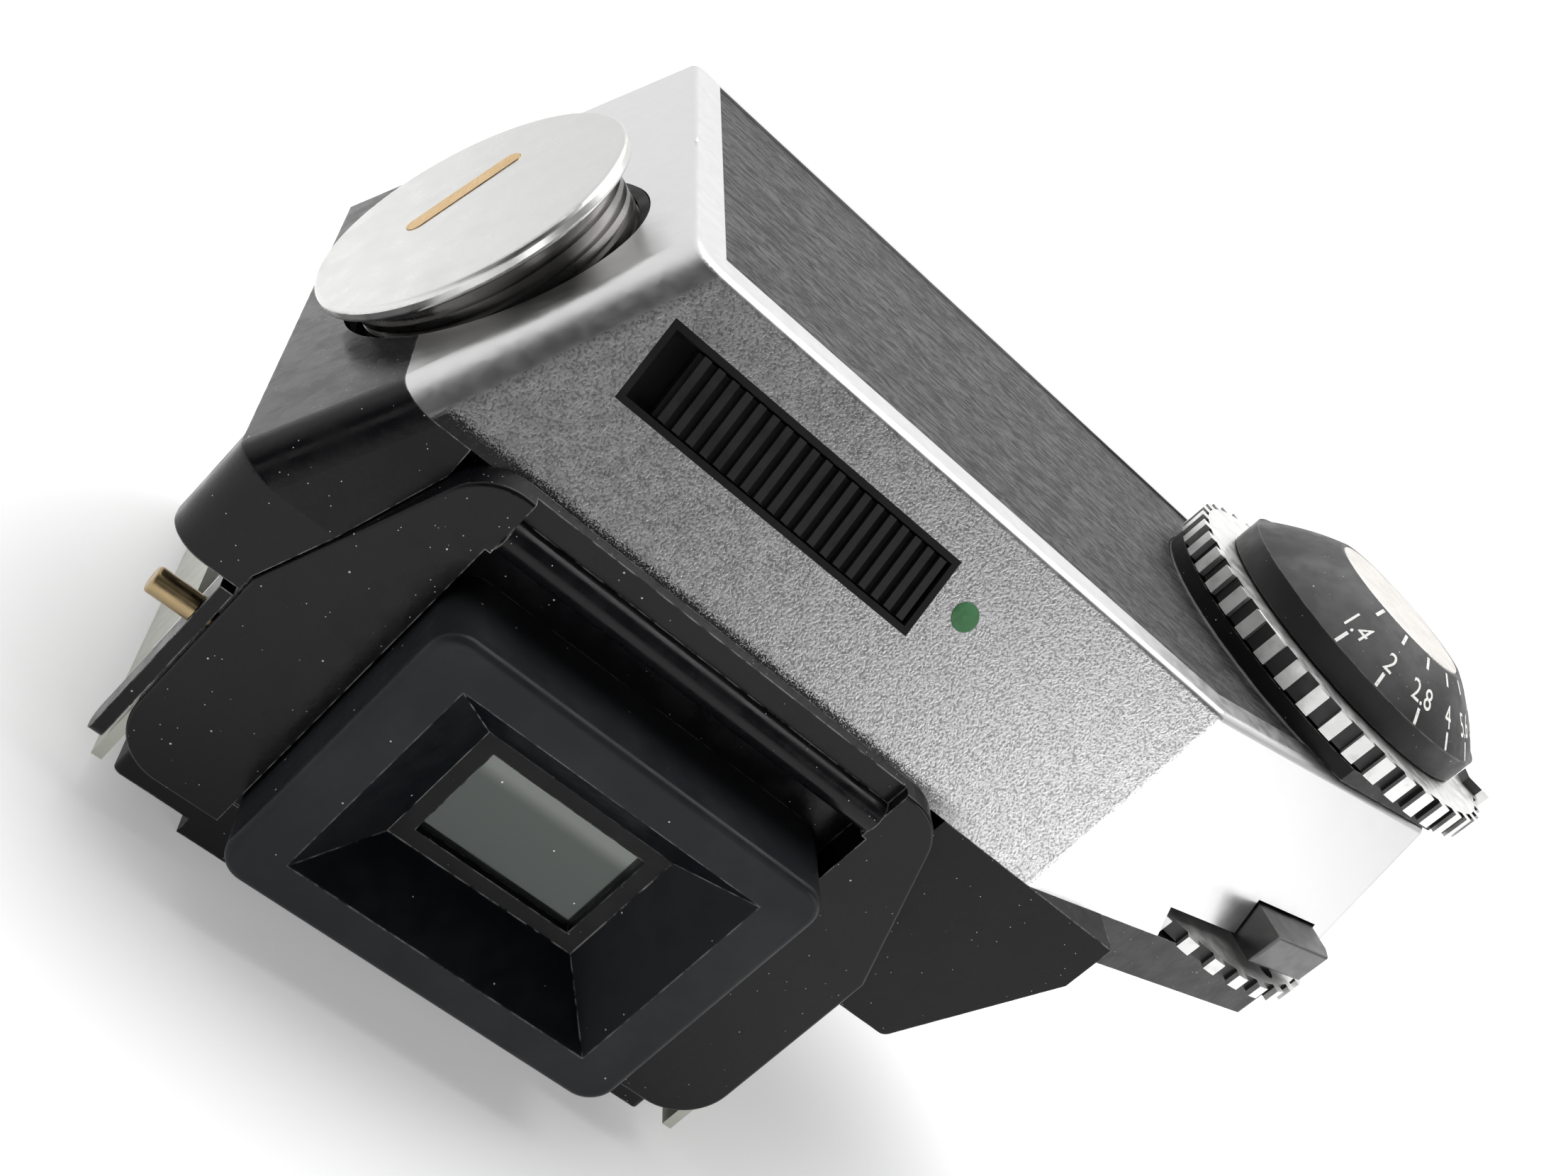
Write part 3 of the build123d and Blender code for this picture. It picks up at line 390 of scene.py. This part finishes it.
def toothed_silver(name, node, tooth=0.42 * MM):
    """Bright ring whose tooth gaps, further in than tooth from the rim, are painted black as painted shade."""
    s = Surface(name)
    low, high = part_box(node)
    radius = (high.y - low.y) / 2
    inside = s.maths("LESS_THAN", s.from_axis((low + high) / 2), radius - tooth)
    upward = s.facing((0.0, 0.0, 1.0), 0.5, 0.7)
    # painted shade: the sides inside the tooth gaps are painted black and not metallic
    gap_shade = s.maths("MULTIPLY", inside, s.maths("SUBTRACT", 1.0, upward))
    dirt = s.span(s.noise(900.0, 4.0), 0.5, 0.7, 0.0, 0.3)
    base = s.blend(dirt, (0.74, 0.74, 0.73), (0.36, 0.36, 0.35))
    s.wire(
        color=s.blend(gap_shade, base, (0.012, 0.012, 0.012)),
        rough=s.span(s.noise(800.0), 0.3, 0.7, 0.28, 0.42),
        normal=s.bump(s.noise(3500.0), 0.005 * MM),
        metal=s.maths("MULTIPLY", s.maths("SUBTRACT", 1.0, gap_shade), 0.85),
    )
    return s.material


def cap_silver():
    """Turned silver cap. Below the disc the neck and its thread are painted dark as painted shade under the disc.
    """
    s = Surface("cap_silver")
    joint = next(j for j in frame["joints"] if j["name"] == "cap_turn")
    axis = Vector(joint["axis"]).normalized()
    low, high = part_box("cap_inlay")
    offset = s.vectors("SUBTRACT", s.place, (low + high) / 2).outputs[0]
    height = s.vectors("DOT_PRODUCT", offset, axis).outputs["Value"]
    # painted shade: the neck under the disc is painted dark
    neck = s.span(height, -CAP_DISC_FLOOR, -CAP_NECK_TOP)
    smear = s.span(s.noise(160.0, 5.0), 0.5, 0.8, 0.0, 0.3)
    base = s.blend(smear, (0.62, 0.62, 0.61), (0.46, 0.46, 0.45))
    s.wire(
        color=s.blend(neck, base, (0.16, 0.155, 0.15)),
        rough=s.span(s.noise(500.0), 0.3, 0.7, 0.26, 0.36),
        normal=s.bump(s.noise(2800.0), 0.004 * MM),
        metal=1.0,
    )
    return s.material


def coated_glass():
    """Eyepiece glass with a grey-green coating, a paler band painted along its upper edge as a painted reflection,
    and fine dust.
    """
    s = Surface("coated_glass")
    _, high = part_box("eyepiece_lens")
    upper = s.span(s.axis(s.place, 2), high.z - REFLECTION_START_FROM, high.z - REFLECTION_FULL_TO)
    # painted reflection: a paler band along the glass's upper edge
    base = s.blend(upper, (0.075, 0.085, 0.080), (0.16, 0.17, 0.16))
    dust = s.specks(1800.0, 0.14, 0.06)
    s.wire(
        color=s.blend(dust, base, (0.7, 0.7, 0.68)),
        rough=s.span(s.noise(300.0, 4.0), 0.35, 0.7, 0.05, 0.16),
        normal=s.bump(s.noise(200.0), 0.003 * MM),
        metal=0.85,
    )
    return s.material


def clear_glass():
    """Glass of the prism and the condenser lens."""
    s = Surface("clear_glass")
    s.wire(
        color=(0.82, 0.87, 0.85),
        rough=s.span(s.noise(300.0, 4.0), 0.35, 0.7, 0.02, 0.08),
        normal=s.bump(s.noise(220.0), 0.002 * MM),
    )
    s.shader.inputs["Transmission Weight"].default_value = 0.9
    return s.material


def white_paint():
    """Paint of the marks, chipped to grey here and there."""
    s = Surface("mark_white")
    chips = s.span(s.noise(5200.0, 3.0), 0.56, 0.68)
    s.wire(
        color=s.blend(chips, (0.86, 0.86, 0.83), (0.45, 0.45, 0.43)),
        rough=0.55,
        normal=s.bump(s.noise(4200.0), 0.01 * MM),
    )
    return s.material


enamel = black_paint("enamel_black", (0.004, 0.004, 0.005), 0.22, 0.22, 0.04, 0.8)
satin = black_paint("satin_black", BLACK, 0.36, 0.16, 0.03, 0.5)
castings = black_paint("casting_black", BLACK, 0.30, 0.18, 0.03, 0.7, 1500.0, 0.02 * MM)
dial_black = black_paint("dial_satin", (0.012, 0.012, 0.012), 0.38, 0.25, 0.02, 0.3)
plate_black = black_paint("mount_satin", (0.008, 0.008, 0.009), 0.42, 0.2, 0.03, 1.0)
eyepiece_grey = eyepiece_black()
ribbed = plastic("ribbed_black", (0.006, 0.006, 0.006), 0.5)
moulded = plastic("moulded_black", (0.008, 0.008, 0.008), 0.55, gloss=0.2)
dark_plated = satin_metal("release_bar_grey", (0.11, 0.11, 0.11), 0.34)
steel = satin_metal("raw_steel", (0.42, 0.43, 0.38), 0.36, 2600.0, 0.008 * MM, (0.20, 0.20, 0.16))
bright_steel = satin_metal("bright_steel", (0.62, 0.62, 0.60), 0.22)
brass = satin_metal("polished_brass", (0.36, 0.27, 0.15), 0.32, 2600.0, 0.01 * MM, (0.12, 0.09, 0.05))
gilt = satin_metal("gilt_inlay", (0.62, 0.42, 0.19), 0.34, 3200.0, 0.12 * MM, (0.22, 0.13, 0.05))
disc_grey = satin_metal("disc_silver", (0.60, 0.58, 0.55), 0.42, 4200.0, 0.004 * MM, (0.6, 0.58, 0.55))
green = plastic("ready_green", (0.05, 0.20, 0.07), 0.28, 900.0, 0.02 * MM, 0.6)
board = plastic("board_green", (0.05, 0.16, 0.08), 0.5)
sensor = plastic("sensor_window", (0.22, 0.10, 0.05), 0.2, 900.0, 0.005 * MM, 0.6)
silver = shell_silver()
speed_silver = toothed_silver("speed_ring_silver", "speed_ring")
film_silver = toothed_silver("film_ring_silver", "film_ring")
prism_glass = clear_glass()
white = white_paint()

looks = {
    "upper_shell": silver,
    "leatherette_panel": leather(),
    "base_frame": castings,
    "left_cover": enamel,
    "prism_housing": castings,
    "rear_plate": enamel,
    "eyepiece_frame": eyepiece_grey,
    "eyepiece_bezel": satin,
    "eyepiece_lens": coated_glass(),
    "roof_prism": prism_glass,
    "condenser_lens": prism_glass,
    "mount_plate": plate_black,
    "latch_lever": enamel,
    "latch_stud": brass,
    "left_rail": steel,
    "right_rail": steel,
    "switch_frame": moulded,
    "switch_slider": ribbed,
    "ready_dot": green,
    "battery_cap": cap_silver(),
    "cap_inlay": gilt,
    "dial_collar": satin,
    "speed_ring": speed_silver,
    "aperture_dial": dial_black,
    "dial_top_disc": disc_grey,
    "film_ring": film_silver,
    "lock_bar": dark_plated,
    "circuit_board": board,
    "photo_cell_left": sensor,
    "photo_cell_right": sensor,
}
by_slot = {
    "brass": brass,
    "plain_steel": bright_steel,
    "cell_steel": bright_steel,
    "matte_black_plastic": moulded,
}
slots = {part["node"]: part["material_slot"] for part in frame["record"]["subparts"]}
for name, piece in nodes.items():
    look = looks.get(name) or by_slot[slots[name]]
    for slot in piece.material_slots:
        slot.material = look


# ---------------------------------------------------------------- marks on the dial and the ring
def text_faces(words):
    """Flat polygons of the words, centred, with their highest point at 1."""
    curve = bpy.data.curves.new("letters", "FONT")
    curve.body = words
    curve.align_x = "CENTER"
    curve.resolution_u = 3
    maker = put("letters", curve)
    bpy.context.view_layer.update()
    mesh = maker.evaluated_get(bpy.context.evaluated_depsgraph_get()).to_mesh()
    points = [vertex.co.copy() for vertex in mesh.vertices]
    faces = [[points[i] for i in polygon.vertices] for polygon in mesh.polygons]
    tall = max(p.y for p in points)
    bpy.data.objects.remove(maker)
    return [[(p.x / tall, p.y / tall) for p in face] for face in faces]


def bar_faces(width, length, across=2, along=4):
    """Flat grid of a straight mark, from 0 to length along the second axis."""
    faces = []
    for i in range(across):
        for j in range(along):
            x0, x1 = (width * (k / across - 0.5) for k in (i, i + 1))
            y0, y1 = (length * k / along for k in (j, j + 1))
            faces.append([(x0, y0), (x1, y0), (x1, y1), (x0, y1)])
    return faces


def mark_piece(name, faces, body):
    """A thin closed white piece from 3-D faces, which rides on a body."""
    shape = bmesh.new()
    for face in faces:
        shape.faces.new([shape.verts.new(p) for p in face])
    bmesh.ops.remove_doubles(shape, verts=shape.verts[:], dist=WELD_DISTANCE)
    bmesh.ops.recalc_face_normals(shape, faces=shape.faces[:])
    bmesh.ops.solidify(shape, geom=shape.faces[:], thickness=MARK_THICKNESS)
    mesh = bpy.data.meshes.new(name)
    shape.to_mesh(mesh)
    shape.free()
    mesh.materials.append(white)
    piece = put(name, mesh)
    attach(piece, body)


dial_low, dial_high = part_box("aperture_dial")
dial_centre = (dial_low + dial_high) / 2
foot_radius = (dial_high.x - dial_low.x) / 2
disc_low, disc_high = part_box("dial_top_disc")
crown_radius = (disc_high.x - disc_low.x) / 2 + CROWN_RIM
foot_z = dial_low.z + SKIRT_HEIGHT
slope = Vector((foot_radius - crown_radius, foot_z - dial_high.z))
slope_length = slope.length


def on_cone(angle, across, down):
    """Point on the dial's cone: down from the crown along the slope, across along its rim."""
    radius = crown_radius + slope.x * down / slope_length
    height = dial_high.z + slope.y * down / slope_length
    turn = angle + across / radius
    outward = Vector((math.cos(turn), math.sin(turn), 0.0))
    normal = (outward * -slope.y + Vector((0.0, 0.0, slope.x))).normalized()
    start = Vector((dial_centre.x, dial_centre.y, height)) + outward * radius + normal * PROBE_HEIGHT
    hit, place, _, _ = nodes["aperture_dial"].ray_cast(start, -normal)
    return (place if hit else start - normal * PROBE_HEIGHT) + normal * MARK_LIFT


marks = []
digit_width = DIGIT_HEIGHT * DIGIT_NARROW
digit_foot = slope_length - LOWER_MARK - MARK_MARGIN - DIGIT_GAP
for number, stop in enumerate(STOPS):
    angle = math.radians(FIRST_STOP + STOP_STEP * number)
    for face in bar_faces(MARK_WIDTH, UPPER_MARK):
        marks.append([on_cone(angle, x, MARK_MARGIN + UPPER_MARK - y) for x, y in face])
    for face in bar_faces(MARK_WIDTH, LOWER_MARK):
        marks.append([on_cone(angle, x, slope_length - MARK_MARGIN - y) for x, y in face])
    for face in text_faces(stop):
        marks.append([on_cone(angle, x * digit_width, digit_foot - y * DIGIT_HEIGHT) for x, y in face])
mark_piece("dial_marks", marks, "aperture_dial")

ring_low, ring_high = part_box("speed_ring")
ring_radius = (ring_high.y - ring_low.y) / 2
index_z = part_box("aperture_dial")[0][2] - INDEX_BELOW_DIAL


def on_ring(across, along):
    """Point on top of the speed ring: along its rim from the index line's start, across outwards."""
    turn = math.radians(INDEX_ANGLE) + (along - INDEX_LENGTH / 2) / ring_radius
    radius = ring_radius - INDEX_INSET + across
    return (dial_centre.x + radius * math.cos(turn), dial_centre.y + radius * math.sin(turn), index_z)


index_bar = bar_faces(INDEX_WIDTH, INDEX_LENGTH, 2, 8)
mark_piece("ring_index", [[on_ring(x, y) for x, y in face] for face in index_bar], "speed_ring")


# ---------------------------------------------------------------- floor
def floor_paper():
    """White paper with a faint glow, which keeps its far end as white as the sky."""
    s = Surface("floor_pale")
    cloud = s.span(s.noise(4.0), 0.3, 0.7)
    s.wire(
        color=s.blend(cloud, (0.90, 0.90, 0.90), (0.87, 0.87, 0.87)),
        rough=0.85,
        normal=s.bump(s.noise(900.0), 0.02 * MM),
    )
    s.specular(0.1)
    s.shader.inputs["Emission Color"].default_value = WHITE
    s.shader.inputs["Emission Strength"].default_value = FLOOR_GLOW
    return s.material


ground = bmesh.new()
bmesh.ops.create_grid(ground, x_segments=FLOOR_SQUARES, y_segments=FLOOR_SQUARES, size=FLOOR_HALF)
floor_mesh = bpy.data.meshes.new("floor")
ground.to_mesh(floor_mesh)
ground.free()
floor_mesh.materials.append(floor_paper())
floor = put("floor", floor_mesh)

# ---------------------------------------------------------------- sky
scene = bpy.context.scene
scene.view_settings.view_transform = "Standard"
world = bpy.data.worlds.new("studio")
scene.world = world
world.use_nodes = True
tree = world.node_tree
coords = tree.nodes.new("ShaderNodeTexCoord")
direction = tree.nodes.new("ShaderNodeSeparateXYZ")
tree.links.new(coords.outputs["Generated"], direction.inputs[0])


def sky_fade(axis, low, high):
    """0 to 1 as the sky's direction goes from low to high along an axis."""
    fade = tree.nodes.new("ShaderNodeMapRange")
    fade.inputs["From Min"].default_value = low
    fade.inputs["From Max"].default_value = high
    tree.links.new(direction.outputs[axis], fade.inputs["Value"])
    return fade.outputs[0]


# the sky is white behind the object and along the horizon, and dark above the eyepiece side
bright = tree.nodes.new("ShaderNodeMath")
bright.operation = "MAXIMUM"
tree.links.new(sky_fade("Y", -0.25, 0.25), bright.inputs[0])
tree.links.new(sky_fade("Z", 0.22, 0.04), bright.inputs[1])
level = tree.nodes.new("ShaderNodeMath")
level.operation = "ADD"
level.inputs[1].default_value = SKY_DARK
tree.links.new(bright.outputs[0], level.inputs[0])
tree.links.new(level.outputs[0], tree.nodes["Background"].inputs["Strength"])
tree.nodes["Background"].inputs["Color"].default_value = WHITE

# ---------------------------------------------------------------- lamps
centre = Vector([(a + b) / 2 for a, b in zip(*bounds_at_load)])


def lamp(name, towards, distance, size, power):
    """A square soft light at a distance from the object's centre, which it looks at."""
    light = bpy.data.lights.new(name, "AREA")
    light.shape = "SQUARE"
    light.size = size
    light.energy = power
    outward = Vector(towards).normalized()
    rig = put(name, light)
    rig.location = centre + outward * distance
    rig.rotation_mode = "QUATERNION"
    rig.rotation_quaternion = outward.to_track_quat("Z", "Y")


lamp("top_light", (0.15, 0.35, 1.0), 0.95, 1.0, 9.0)
lamp("right_light", (1.0, -0.38, 0.10), 0.8, 0.44, 0.85)
lamp("front_light", (0.72, -0.72, 0.36), 0.8, 0.30, 1.0)
lamp("rear_light", (0.05, -0.80, 0.60), 0.9, 0.05, 0.05)
lamp("left_light", (-0.8, -0.6, 0.35), 0.8, 0.2, 0.10)

# ---------------------------------------------------------------- camera
camera_data = bpy.data.cameras.new("camera")
camera_data.lens = LENS
camera_data.sensor_width = SENSOR
camera_data.sensor_fit = "HORIZONTAL"
camera_data.clip_start = NEAREST_SEEN
camera = put("camera", camera_data)
camera.location = CAMERA_PLACE
camera.rotation_mode = "QUATERNION"
roll = Quaternion((0.0, 0.0, 1.0), math.radians(CAMERA_ROLL))
camera.rotation_quaternion = CAMERA_AIM.to_track_quat("-Z", "Y") @ roll
scene.camera = camera
